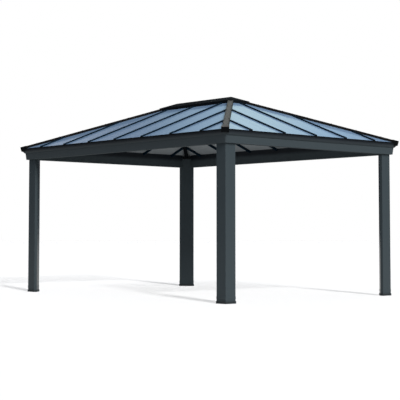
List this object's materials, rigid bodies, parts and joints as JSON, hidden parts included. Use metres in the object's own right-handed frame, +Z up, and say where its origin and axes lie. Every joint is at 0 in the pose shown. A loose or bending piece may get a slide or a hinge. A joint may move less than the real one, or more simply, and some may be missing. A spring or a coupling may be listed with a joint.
{
  "type": "metal gazebo",
  "caption": "Open-sided rectangular garden gazebo with corner posts, gutter beams and a glazed hip roof with a raised ridge cap, standing on the ground",
  "frame": {"origin": "on the ground, at the middle of the plan", "axes": "+Z up; the long sides run along X and face -Y (front) and +Y (back); the short sides face -X and +X"},
  "size_m": [5.0364, 3.7364, 3.0879],
  "materials": {
    "frame_paint": "satin dark grey powder coat",
    "roof_trim_paint": "matt near black powder coat",
    "hip_cover_paint": "semi-gloss near black powder coat",
    "foot_paint": "satin near black powder coat",
    "black_fittings": "satin black powder coat",
    "black_plastic": "moulded black plastic",
    "glazing": "translucent pale blue polycarbonate sheet"
  },
  "bodies": {
    "root": {"front_left_post": "frame_paint", "front_left_foot": "foot_paint", "front_left_post_head": "black_fittings", "front_left_hip_rafter": "roof_trim_paint", "front_left_hip_cover": "hip_cover_paint", "front_left_hip_end_cap": "black_plastic", "front_right_post": "frame_paint", "front_right_foot": "foot_paint", "front_right_post_head": "black_fittings", "front_right_hip_rafter": "roof_trim_paint", "front_right_hip_cover": "hip_cover_paint", "front_right_hip_end_cap": "black_plastic", "back_left_post": "frame_paint", "back_left_foot": "foot_paint", "back_left_post_head": "black_fittings", "back_left_hip_rafter": "roof_trim_paint", "back_left_hip_cover": "hip_cover_paint", "back_left_hip_end_cap": "black_plastic", "back_right_post": "frame_paint", "back_right_foot": "foot_paint", "back_right_post_head": "black_fittings", "back_right_hip_rafter": "roof_trim_paint", "back_right_hip_cover": "hip_cover_paint", "back_right_hip_end_cap": "black_plastic", "front_gutter_beam": "frame_paint", "front_eave_trim": "roof_trim_paint", "front_roof_panels": "glazing", "front_glazing_bars": "roof_trim_paint", "right_gutter_beam": "frame_paint", "right_eave_trim": "roof_trim_paint", "right_roof_panels": "glazing", "right_glazing_bars": "roof_trim_paint", "back_gutter_beam": "frame_paint", "back_eave_trim": "roof_trim_paint", "back_roof_panels": "glazing", "back_glazing_bars": "roof_trim_paint", "left_gutter_beam": "frame_paint", "left_eave_trim": "roof_trim_paint", "left_roof_panels": "glazing", "left_glazing_bars": "roof_trim_paint", "ridge_beam": "roof_trim_paint", "ridge_cap": "roof_trim_paint"}
  },
  "joints": []
}
